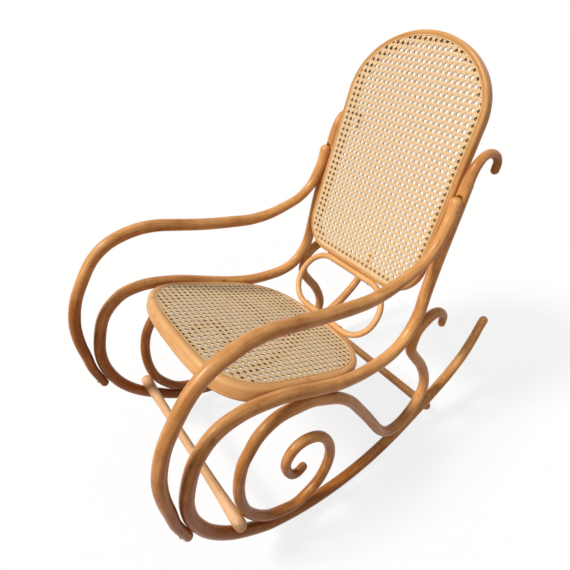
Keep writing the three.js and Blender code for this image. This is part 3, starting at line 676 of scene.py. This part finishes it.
def spread(tree, source, low, high, to_high=1.0, to_low=0.0):
    """A value spread from its own range over a new one."""
    ramp = tree.nodes.new("ShaderNodeMapRange")
    ramp.inputs["From Min"].default_value = low
    ramp.inputs["From Max"].default_value = high
    ramp.inputs["To Min"].default_value = to_low
    ramp.inputs["To Max"].default_value = to_high
    tree.links.new(source, ramp.inputs["Value"])
    return ramp.outputs["Result"]


def calculate(tree, operation, first, second):
    """Two values taken together, such as their sum."""
    result = tree.nodes.new("ShaderNodeMath")
    result.operation = operation
    tree.links.new(first, result.inputs[0])
    tree.links.new(second, result.inputs[1])
    return result.outputs["Value"]


def blend(tree, factor, first, second):
    """A mix of two colours, each a tuple or another node's output."""
    mix = tree.nodes.new("ShaderNodeMix")
    mix.data_type = "RGBA"
    tree.links.new(factor, mix.inputs["Factor"])
    for socket, colour in (("A", first), ("B", second)):
        if isinstance(colour, tuple):
            mix.inputs[socket].default_value = colour
        else:
            tree.links.new(colour, mix.inputs[socket])
    return mix.outputs["Result"]


def raise_grain(tree, shader, height, strength, distance):
    """Fine relief that follows a value."""
    bump = tree.nodes.new("ShaderNodeBump")
    bump.inputs["Strength"].default_value = strength
    bump.inputs["Distance"].default_value = distance
    tree.links.new(height, bump.inputs["Height"])
    tree.links.new(bump.outputs["Normal"], shader.inputs["Normal"])


def wood(name, colours, roughness, mottle, low_shade):
    """Varnished bent wood: grain, mottling, dark flecks, and painted shade low in front."""
    light, dark, streak = colours
    material, tree, shader = new_material(name)
    grain = grain_place(tree)
    place = object_place(tree)
    fibres = noise(tree, grain, scale=520, detail=5, stretch=0.03)
    streaks = noise(tree, grain, scale=130, detail=4, stretch=0.07)
    clouds = noise(tree, place, scale=11, detail=4)
    patches = noise(tree, place, scale=38, detail=3)
    # Painted shade: the wood is darkened low down and at the front, where less light falls.
    low_front_shade = tree.nodes.new("ShaderNodeVectorMath")
    low_front_shade.operation = "DOT_PRODUCT"
    low_front_shade.inputs[1].default_value = LOW_SHADE_TOWARDS
    tree.links.new(place, low_front_shade.inputs[0])
    tone = spread(tree, clouds, low=0.36, high=0.66, to_high=mottle)
    for layer in (
        spread(tree, patches, low=0.35, high=0.68, to_high=0.5 * mottle),
        spread(tree, streaks, low=0.33, high=0.68, to_high=0.42),
        spread(tree, fibres, low=0.3, high=0.7, to_high=0.36),
        spread(tree, low_front_shade.outputs["Value"], low=LOW_SHADE_FROM, high=LOW_SHADE_TO, to_high=low_shade),
    ):
        tone = calculate(tree, "ADD", tone, layer)
    base = blend(tree, spread(tree, tone, low=0.2, high=1.25), light, dark)
    fleck_noise = noise(tree, grain, scale=260, detail=3, stretch=0.14)
    flecks = spread(tree, fleck_noise, low=0.67, high=0.76, to_high=0.55)
    bruises = spread(tree, noise(tree, place, scale=24, detail=2), low=0.70, high=0.80, to_high=0.5)
    marked = blend(tree, bruises, blend(tree, flecks, base, streak), streak)
    tree.links.new(marked, shader.inputs["Base Color"])
    gloss = spread(tree, fibres, low=0, high=1, to_low=roughness - 0.06, to_high=roughness + 0.10)
    tree.links.new(gloss, shader.inputs["Roughness"])
    relief = calculate(tree, "ADD", fibres, streaks)
    raise_grain(tree, shader, relief, strength=0.16, distance=0.4 * MM)
    shader.inputs["Specular IOR Level"].default_value = 0.16
    shader.inputs["Coat Weight"].default_value = 0.6
    shader.inputs["Coat Roughness"].default_value = 0.3
    shader.inputs["Coat IOR"].default_value = 1.25
    shader.inputs["Coat Tint"].default_value = VARNISH_TINT
    return material


def cane(name, colours):
    """Split cane: straw skin with fine lines along each strand, and sides of another colour, a painted shade
    on the webbing.
    """
    light, dark, side = colours
    material, tree, shader = new_material(name)
    grain = grain_place(tree)
    lines = noise(tree, grain, scale=900, detail=3, stretch=0.03)
    tone = blend(tree, lines, light, dark)
    parts = tree.nodes.new("ShaderNodeSeparateXYZ")
    tree.links.new(grain, parts.inputs["Vector"])
    # Painted shade: the strands' sides, near black on the webbing, stand in for the shade deep in the holes.
    shaded_side_mask = spread(tree, parts.outputs["Y"], low=0.02, high=0.15)
    tree.links.new(blend(tree, shaded_side_mask, tone, side), shader.inputs["Base Color"])
    raise_grain(tree, shader, lines, strength=0.2, distance=0.2 * MM)
    shader.inputs["Roughness"].default_value = 0.5
    return material


def bronzed_steel(name, colours):
    """Bronzed screw steel with fine wear."""
    light, dark = colours
    material, tree, shader = new_material(name)
    wear = noise(tree, object_place(tree), scale=900, detail=2)
    tree.links.new(blend(tree, wear, light, dark), shader.inputs["Base Color"])
    shader.inputs["Metallic"].default_value = 0.8
    shader.inputs["Roughness"].default_value = 0.45
    return material


def dress(piece, slot_name, *nodes):
    """Puts a piece in the place of the solids it stands for."""
    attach(piece, "root")
    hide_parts(*nodes)


# Only the rods get the painted shade low in front.
rod_wood = wood("rod_wood", ROD_WOOD_COLOURS, roughness=0.32, mottle=0.38, low_shade=0.6)
frame_wood = wood("frame_wood", FRAME_WOOD_COLOURS, roughness=0.36, mottle=0.25, low_shade=0)
back_wood = wood("back_wood", BACK_WOOD_COLOURS, roughness=0.36, mottle=0.25, low_shade=0)
pale_wood = wood("pale_wood", PALE_WOOD_COLOURS, roughness=0.36, mottle=0.3, low_shade=0)
cane_fibre = cane("cane_fibre", CANE_COLOURS)
spline_fibre = cane("spline_fibre", SPLINE_COLOURS)
screw_steel = bronzed_steel("dull_steel", SCREW_COLOURS)

# The side frames' rods
hook_rows = rod_rows(HOOK_TO_ROCKER_SHARES, RUNNER_RADIUS)
tail_rows = rod_rows(TAIL_SHARES, RUNNER_RADIUS)
runner = trace(hook_rows + rocker_rows() + tail_rows)
arm_end_radius = ARM_RADIUS * ARM_TOP_SHARES[3]
arm_top = beside_runner(side_place(ARM_TOP_SHARES), RUNNER_RADIUS + arm_end_radius - NOTCH_DEPTH)
arm_top.x = ARM_TOP_SHARES[2] * SIDE_SPREAD
arm = settle([[arm_top, arm_end_radius, False], *rod_rows(ARM_SHARES, ARM_RADIUS)], runner)
scroll = settle(rod_rows(SCROLL_SHARES, SCROLL_RADIUS), runner)


def cut_notch(runner_piece, side, mirrored):
    """Cuts the notch that holds the arm's top end out of the upright."""
    arm_end = [place for place in arm if (place[0] - arm_top).length < NOTCH_REACH]
    onward = (arm[0][0] - arm[PLACES_PER_ROW][0]).normalized() * NOTCH_RUN
    arm_end.insert(0, (arm_top + onward, arm_end_radius))
    cutter = rod(f"{side}_notch", arm_end, rod_wood, mirrored, grown=NOTCH_GAP)
    notch = runner_piece.modifiers.new("notch", "BOOLEAN")
    notch.operation = "DIFFERENCE"
    notch.solver = "EXACT"
    notch.object = cutter
    bpy.context.view_layer.update()
    depsgraph = bpy.context.evaluated_depsgraph_get()
    cut_mesh = bpy.data.meshes.new_from_object(runner_piece.evaluated_get(depsgraph))
    runner_piece.modifiers.clear()
    runner_piece.data = cut_mesh
    bpy.data.objects.remove(cutter)


def side_frame(side, mirrored):
    """One side frame: runner, arm and scroll."""
    runner_piece = rod(f"{side}_runner_rod", runner, rod_wood, mirrored)
    dress(runner_piece, "rod_wood", f"{side}_runner")
    dress(rod(f"{side}_arm_rod", arm, rod_wood, mirrored), "rod_wood", f"{side}_arm")
    dress(rod(f"{side}_scroll_rod", scroll, rod_wood, mirrored), "rod_wood", f"{side}_scroll")
    cut_notch(runner_piece, side, mirrored)


side_frame("left", False)
side_frame("right", True)


def crossing(edge, point, direction):
    """Where a line enters and leaves a convex outline, as distances along it, or None."""
    hits = []
    for i, corner in enumerate(edge):
        span = edge[(i + 1) % len(edge)] - corner
        cross = direction.x * span.y - direction.y * span.x
        if abs(cross) < PARALLEL:
            continue
        gap = corner - point
        along = (gap.x * span.y - gap.y * span.x) / cross
        share = (gap.x * direction.y - gap.y * direction.x) / cross
        if 0 <= share < 1:
            hits.append(along)
    if len(hits) > 1 and max(hits) - min(hits) > CANE_PITCH / 2:
        return min(hits), max(hits)
    return None


def webbing(name, edge, hole, row_pitch, matrix):
    """Woven six-way cane: pairs of strands both ways, and two sets of diagonals through them."""
    corners, faces, grain = [], [], []
    tones = random.Random(name)
    sides = len(STRAND_SECTION_SHARES)
    low = Vector((min(p.x for p in edge), min(p.y for p in edge), 0))
    high = Vector((max(p.x for p in edge), max(p.y for p in edge), 0))
    across, down = Vector((CANE_PITCH, 0, 0)), Vector((0, row_pitch, 0))
    middle = (low + high) / 2 - hole
    steps = Vector((round(middle.x / CANE_PITCH), round(middle.y / row_pitch), 0))
    knot = hole + across * (steps.x + 0.5) + down * (steps.y + 0.5)

    def strand(point, course, width, height_of):
        direction = course.normalized()
        span = crossing(edge, point, direction)
        if span is None:
            return
        beside = Vector((-direction.y, direction.x, 0))
        tone = tones.uniform(-1, 1)
        step = course.length / STEPS_PER_PITCH
        first, last = math.floor(span[0] / step), math.ceil(span[1] / step)
        start = len(corners)
        for k in range(first, last + 1):
            along = min(max(k * step, span[0]), span[1])
            place = point + direction * along
            level = Vector((0, 0, CANE_LEVEL + height_of(along / course.length)))
            for reach_share, rise_share, shade in STRAND_SECTION_SHARES:
                reach = reach_share * width / 2
                rise = Vector((0, 0, rise_share * STRAND_THICKNESS / 2))
                corners.append(matrix @ (place + beside * reach + level + rise))
                grain.append((reach + tone, shade, along))
        for i in range(last - first):
            for k in range(sides):
                low_k, high_k = start + sides * i + k, start + sides * i + (k + 1) % sides
                faces.append((low_k, high_k, high_k + sides, low_k + sides))

    def wave(turns):
        return math.cos(2 * math.pi * turns)

    columns = math.ceil((high.x - low.x) / CANE_PITCH / 2) + 1
    rows = math.ceil((high.y - low.y) / row_pitch / 2) + 1
    for i in range(-columns, columns + 1):
        for sign in (-1, 1):
            point = knot + across * (i + sign * PAIR_SPREAD / CANE_PITCH)
            strand(point, down, STRAND_WIDTH, lambda s, w=STRAND_WAVE * sign: w * wave(s) - w / 2)
    for j in range(-rows, rows + 1):
        for sign in (-1, 1):
            point = knot + down * (j + sign * PAIR_SPREAD / row_pitch)
            strand(point, across, STRAND_WIDTH, lambda s, w=STRAND_WAVE * sign: w / 2 - w * wave(s))
    for i in range(-columns - rows, columns + rows + 1):
        point = knot + across * (i + 0.5)
        for course, w in ((across + down, STRAND_WAVE), (across - down, -STRAND_WAVE)):
            strand(point, course, DIAGONAL_WIDTH, lambda s, w=w: w + w * wave(2 * s))
    return grained_piece(name, corners, faces, grain, cane_fibre)


def caned_frame(name, material, outline, section, spline_inset, hole, row_pitch, turn):
    """A rail round an outline, with the cane sheet and the spline that holds it."""
    matrix = STAND @ turn
    dress(hoop(f"{name}_rail", outline, section, material, matrix), "frame_wood", f"{name}_frame")
    spline = hoop(f"{name}_reed", outline, spline_section(spline_inset), spline_fibre, matrix)
    dress(spline, "spline", f"{name}_spline")
    edge = inset_outline(outline, spline_inset + SPLINE_WIDTH / 2)
    dress(webbing(f"{name}_webbing", edge, hole, row_pitch, matrix), "cane", f"{name}_cane")


def tilted(shares, angle):
    """The frame of a caned piece: its outline's start on the middle plane, and its tilt from level."""
    return Matrix.Translation(side_place(shares)) @ Matrix.Rotation(angle, 4, "X")


back_turn = tilted(BACK_FOOT_SHARES, math.pi / 2 - BACK_LEAN)
seat_turn = tilted(SEAT_FRONT_SHARES, -SEAT_SLOPE)


def caned_back():
    """The caned back, as wide as the uprights leave room for."""
    foot = back_turn.translation
    upright = [place for place, _ in runner if place.y > foot.y and place.z > foot.z]
    half = min(place.x for place in upright) - RUNNER_RADIUS - FIT
    round_corner = BACK_CORNER_RADIUS
    corner_x = half - round_corner
    shoulder = BACK_HEIGHT - BACK_CROWN_RISE
    outline = [
        *arc_points(corner_x, round_corner, round_corner, round_corner, -90, 0, BACK_CORNER_STEPS),
        *arc_points(0, shoulder, half, BACK_CROWN_RISE, 0, 180, BACK_CROWN_STEPS),
        *arc_points(-corner_x, round_corner, round_corner, round_corner, 180, 270, BACK_CORNER_STEPS),
    ]
    section = rail_section(BACK_RAIL_WIDTH, BACK_RAIL_DEPTH, BACK_EDGE_ROUND, BACK_SPLINE_INSET)
    caned_frame("back", back_wood, outline, section, BACK_SPLINE_INSET, BACK_HOLE, BACK_ROW_PITCH, back_turn)


def caned_seat():
    """The caned seat, as wide as the side rails leave room for."""
    rail = [place for place, _ in runner if place.z > RAIL_FOOT_SHARE * SIDE_HEIGHT]

    def room_at(seat_share):
        depth = (seat_turn @ Vector((0, seat_share * SEAT_DEPTH, 0))).y
        return min(rail, key=lambda place: abs(place.y - depth)).x - RUNNER_RADIUS - FIT

    half = min(room_at(along) / across for across, along in SEAT_OUTLINE_SHARES[1:-1])
    one_side = [Vector((across * half, along * SEAT_DEPTH, 0)) for across, along in SEAT_OUTLINE_SHARES]
    other_side = [Vector((-point.x, point.y, 0)) for point in reversed(one_side[1:-1])]
    rows = [[point, 0, False] for point in one_side + other_side]
    outline = [place for place, _ in trace(rows, closed=True)[::SEAT_OUTLINE_STRIDE]]
    section = rail_section(SEAT_RAIL_WIDTH, SEAT_RAIL_DEPTH, SEAT_EDGE_ROUND, SEAT_SPLINE_INSET)
    caned_frame("seat", frame_wood, outline, section, SEAT_SPLINE_INSET, SEAT_HOLE, CANE_PITCH, seat_turn)


def lumbar_loop():
    """The thin loop from the rear of the seat to the foot of the back."""
    foot = seat_turn @ Vector((0, SEAT_DEPTH - LOOP_ON_SEAT_SHARE * SEAT_RAIL_WIDTH, LOOP_RADIUS + FIT))
    head = back_turn @ Vector((0, -LOOP_RADIUS - FIT, -LOOP_UNDER_BACK_SHARE * BACK_RAIL_DEPTH))
    rise = head - foot
    turn = Matrix.Translation(foot) @ Matrix.Rotation(math.atan2(rise.z, rise.y), 4, "X")
    corner = min(LOOP_CORNER_RADIUS, rise.length / 2 - FIT)
    x = LOOP_HALF_WIDTH - LOOP_RADIUS - corner
    upper = rise.length - corner
    outline = [
        *arc_points(x, corner, corner, corner, -90, 0, LOOP_CORNER_STEPS),
        *arc_points(x, upper, corner, corner, 0, 90, LOOP_CORNER_STEPS),
        *arc_points(-x, upper, corner, corner, 90, 180, LOOP_CORNER_STEPS),
        *arc_points(-x, corner, corner, corner, 180, 270, LOOP_CORNER_STEPS),
    ]
    section = []
    for k in range(LOOP_SIDES):
        angle = 2 * math.pi * k / LOOP_SIDES
        section.append((LOOP_RADIUS * math.cos(angle), LOOP_RADIUS * math.sin(angle)))
    loop = hoop("lumbar_loop_rod", outline, section, frame_wood, STAND @ turn)
    dress(loop, "frame_wood", "lumbar_loop")


def stretcher(name, shares, waist, end, overhang, material, slot_name):
    """A turned dowel across the runners, thicker at its ends, and rounded there."""
    end_radius = end / 2
    place = beside_runner(side_place(shares), RUNNER_RADIUS + end_radius + FIT)
    half_length = nearest(runner, place)[0].x + RUNNER_RADIUS + overhang
    half = []
    for along_share, growth in STRETCHER_PROFILE_SHARES:
        half.append((along_share * half_length, (waist + (end - waist) * growth) / 2))
    half.append((half_length - end_radius, end_radius))
    for angle in STRETCHER_END_ANGLES:
        x = half_length - end_radius + end_radius * math.sin(angle)
        half.append((x, end_radius * math.cos(angle)))
    profile = [(-x, radius) for x, radius in reversed(half[1:])] + half
    rings, grain = [], []
    for x, radius in profile:
        ring = []
        for k in range(ROD_SIDES):
            angle = 2 * math.pi * k / ROD_SIDES
            y, z = radius * math.cos(angle), radius * math.sin(angle)
            ring.append(Vector((x, place.y + y, place.z + z)))
            grain.append((y, z, x))
        rings.append(ring)
    tips = [Vector((-half_length, place.y, place.z)), Vector((half_length, place.y, place.z))]
    grain.extend(((0, 0, -half_length), (0, 0, half_length)))
    piece = skin_piece(f"{name}_turning", rings, tips, grain, material, STAND)
    dress(piece, slot_name, name)


def screws():
    """The screws keep their solids and get their own finish."""
    for node_name, node in frame["nodes"].items():
        if node_name.endswith("_screw"):
            node.data.materials.clear()
            node.data.materials.append(screw_steel)


caned_back()
caned_seat()
lumbar_loop()
stretcher("front_stretcher", FRONT_STRETCHER_SHARES, FRONT_STRETCHER_WAIST, FRONT_STRETCHER_END,
          FRONT_STRETCHER_OVERHANG, pale_wood, "pale_wood")
stretcher("rear_stretcher", REAR_STRETCHER_SHARES, REAR_STRETCHER_WAIST, REAR_STRETCHER_END,
          REAR_STRETCHER_OVERHANG, rod_wood, "rod_wood")
screws()


def camera():
    """The photograph's camera."""
    data = bpy.data.cameras.new("camera")
    data.sensor_width = SENSOR_WIDTH
    data.lens = FOCAL_PIXELS / PICTURE_WIDTH * SENSOR_WIDTH
    data.shift_x = 0.5 - CENTRE_PIXELS[0] / PICTURE_WIDTH
    data.shift_y = CENTRE_PIXELS[1] / PICTURE_WIDTH - 0.5
    data.clip_start = CAMERA_NEAR
    data.clip_end = CAMERA_FAR
    eye = bpy.data.objects.new("camera", data)
    aim = Matrix.Rotation(CAMERA_TURN, 4, "Z") @ Matrix.Rotation(math.pi / 2 - CAMERA_DOWN, 4, "X")
    eye.matrix_world = STAND @ Matrix.Translation(CAMERA_PLACE) @ aim
    bpy.context.scene.collection.objects.link(eye)
    bpy.context.scene.camera = eye


def seen(tree):
    """1 for what the camera sees, straight, mirrored or through something clear, and otherwise 0."""
    rays = tree.nodes.new("ShaderNodeLightPath").outputs
    mirrored_too = calculate(tree, "MAXIMUM", rays["Is Camera Ray"], rays["Is Glossy Ray"])
    return calculate(tree, "MAXIMUM", mirrored_too, rays["Is Transmission Ray"])


def floor():
    """A plain floor that the camera sees as white, with the chair's soft shadow."""
    reach = FLOOR_REACH
    corners = [(-reach, -reach, 0), (reach, -reach, 0), (reach, reach, 0), (-reach, reach, 0)]
    mesh = bpy.data.meshes.new("floor")
    mesh.from_pydata(corners, [], [(0, 1, 2, 3)])
    material, tree, shader = new_material("floor_white")
    shown = seen(tree)
    tree.links.new(blend(tree, shown, FLOOR_BOUNCE, FLOOR_WHITE), shader.inputs["Base Color"])
    shader.inputs["Roughness"].default_value = 0.9
    glow = tree.nodes.new("ShaderNodeEmission")
    mix = tree.nodes.new("ShaderNodeMixShader")
    tree.links.new(spread(tree, shown, low=0, high=1, to_high=FLOOR_GLOW), mix.inputs["Fac"])
    tree.links.new(shader.outputs["BSDF"], mix.inputs[1])
    tree.links.new(glow.outputs["Emission"], mix.inputs[2])
    tree.links.new(mix.outputs["Shader"], tree.nodes["Material Output"].inputs["Surface"])
    mesh.materials.append(material)
    plane = bpy.data.objects.new("floor", mesh)
    bpy.context.scene.collection.objects.link(plane)


def lamp(name, side, strength, colour):
    """A distant soft lamp on one side of the chair, which lights the floor evenly."""
    data = bpy.data.lights.new(name, "SUN")
    data.energy = strength
    data.angle = LAMP_ANGLE
    data.color = colour
    light = bpy.data.objects.new(name, data)
    light.rotation_euler = Vector(side).to_track_quat("Z", "Y").to_euler()
    bpy.context.scene.collection.objects.link(light)


def world():
    """White where it is seen, and a low even light on the chair."""
    studio = bpy.data.worlds.new("studio")
    bpy.context.scene.world = studio
    studio.use_nodes = True
    tree = studio.node_tree
    background = tree.nodes["Background"]
    background.inputs["Color"].default_value = (1, 1, 1, 1)
    level = spread(tree, seen(tree), low=0, high=1, to_low=SURROUNDING_LIGHT)
    tree.links.new(level, background.inputs["Strength"])


camera()
floor()
world()
lamp("key", KEY_SIDE, KEY_STRENGTH, KEY_COLOUR)
lamp("camera_side", FILL_SIDE, FILL_STRENGTH, FILL_COLOUR)
bpy.context.scene.view_settings.view_transform = "Standard"
